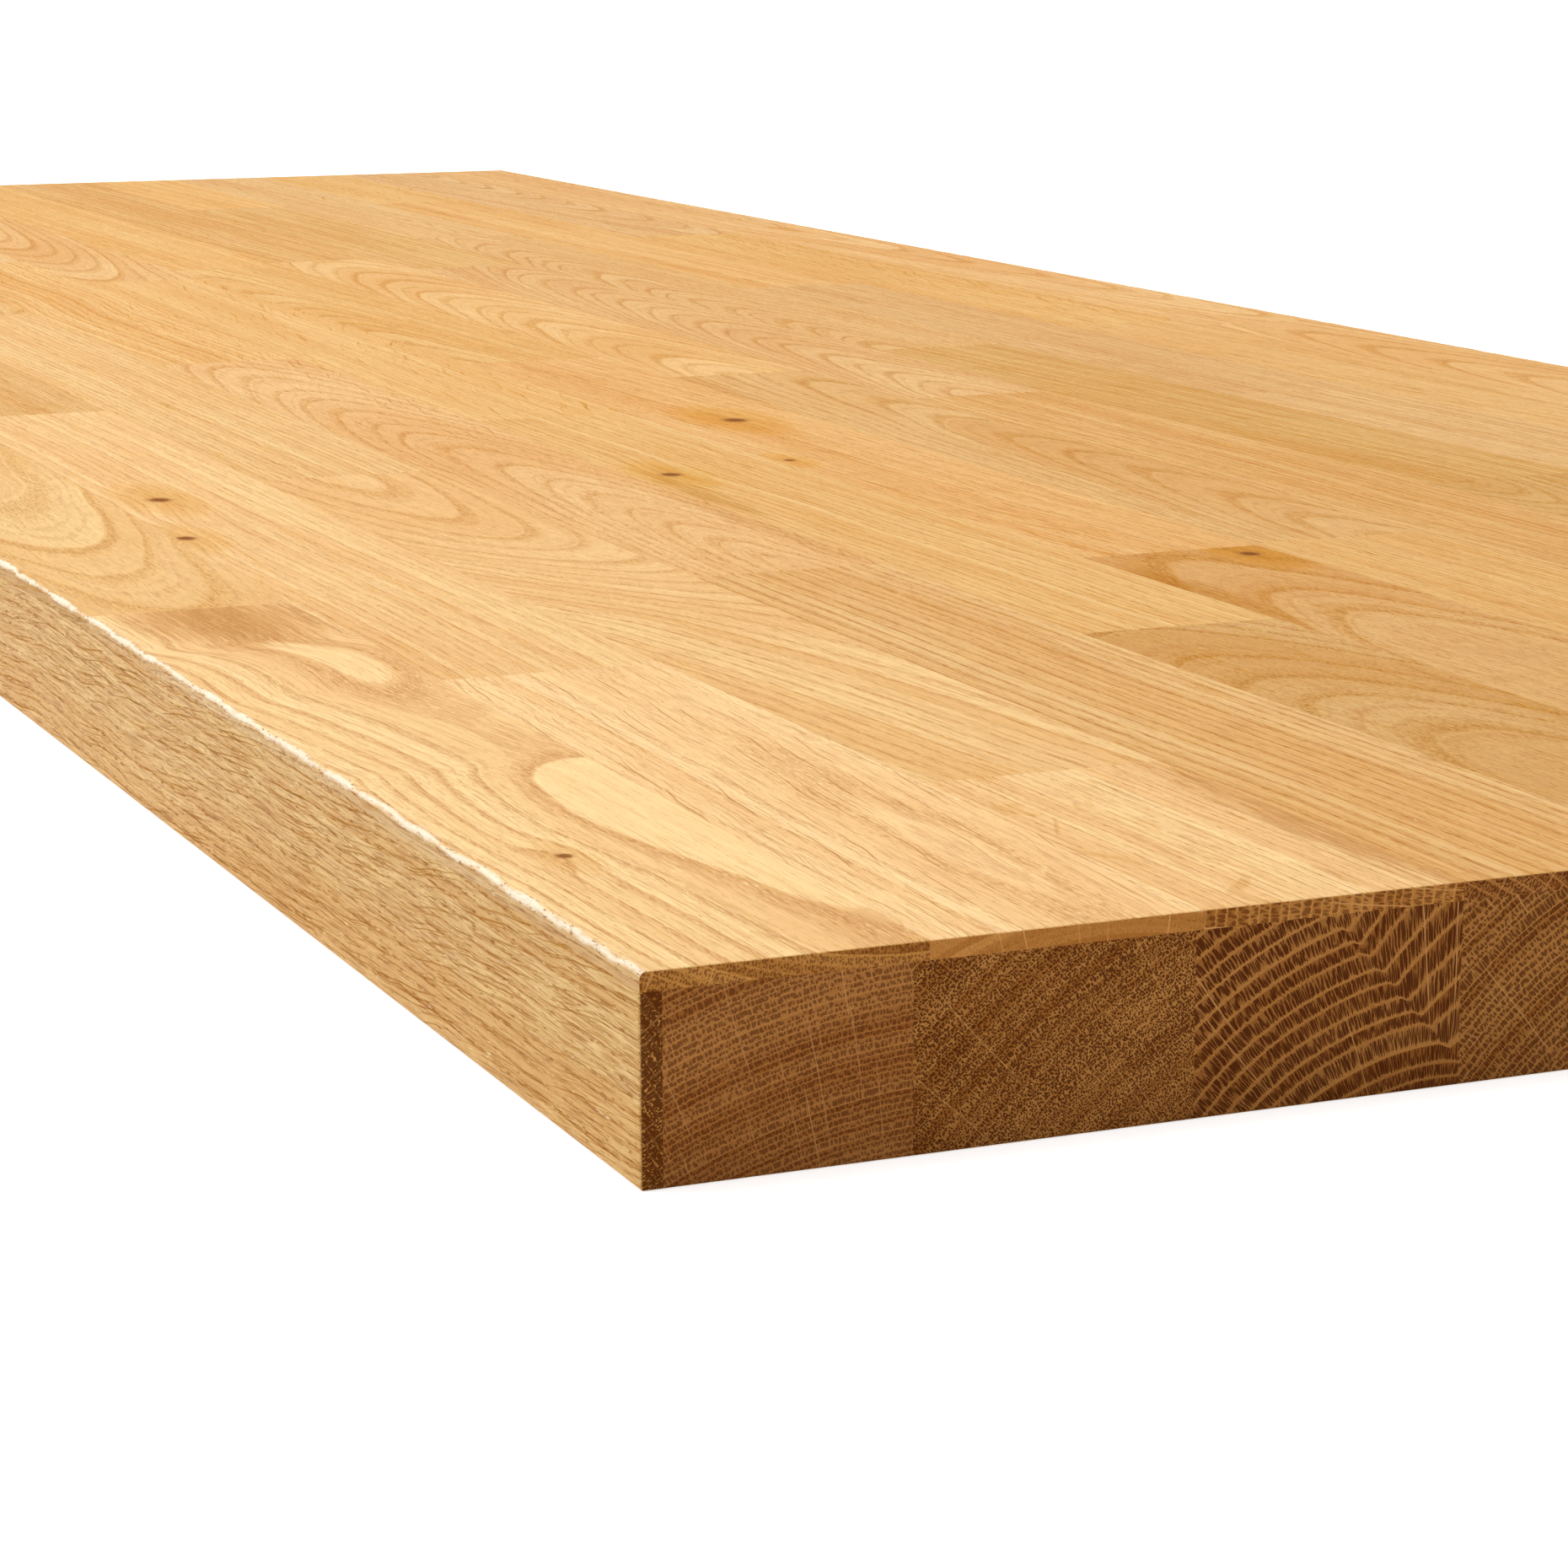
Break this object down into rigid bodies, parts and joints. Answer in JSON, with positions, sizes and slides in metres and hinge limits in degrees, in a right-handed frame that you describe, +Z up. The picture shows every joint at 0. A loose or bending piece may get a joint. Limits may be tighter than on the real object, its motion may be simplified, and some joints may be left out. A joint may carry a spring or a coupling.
{
  "type": "butcher block countertop",
  "caption": "Solid oak butcher block worktop board: butt-jointed top staves over full-height core staves, with a strip along each long edge.",
  "frame": {"origin": "centre of the underside, where the board rests", "axes": "+Y along the board's length and its staves, +X across its width, +Z up through its thickness to the top face"},
  "size_m": [0.635, 1.86, 0.038],
  "materials": {
    "top_staves": "sanded bare oak, long grain",
    "core_staves": "sawn oak end grain",
    "edge_strips": "sanded bare oak, long grain"
  },
  "bodies": {
    "root": {"top_row_1": "top_staves", "top_row_2": "top_staves", "top_row_3": "top_staves", "top_row_4": "top_staves", "top_row_5": "top_staves", "top_row_6": "top_staves", "top_row_7": "top_staves", "top_row_8": "top_staves", "top_row_9": "top_staves", "top_row_10": "top_staves", "top_row_11": "top_staves", "top_row_12": "top_staves", "core_stave_1": "core_staves", "core_stave_2": "core_staves", "core_stave_3": "core_staves", "core_stave_4": "core_staves", "core_stave_5": "core_staves", "core_stave_6": "core_staves", "core_stave_7": "core_staves", "core_stave_8": "core_staves", "core_stave_9": "core_staves", "core_stave_10": "core_staves", "core_stave_11": "core_staves", "core_stave_12": "core_staves", "edge_strip_left": "edge_strips", "edge_strip_right": "edge_strips"}
  },
  "joints": []
}
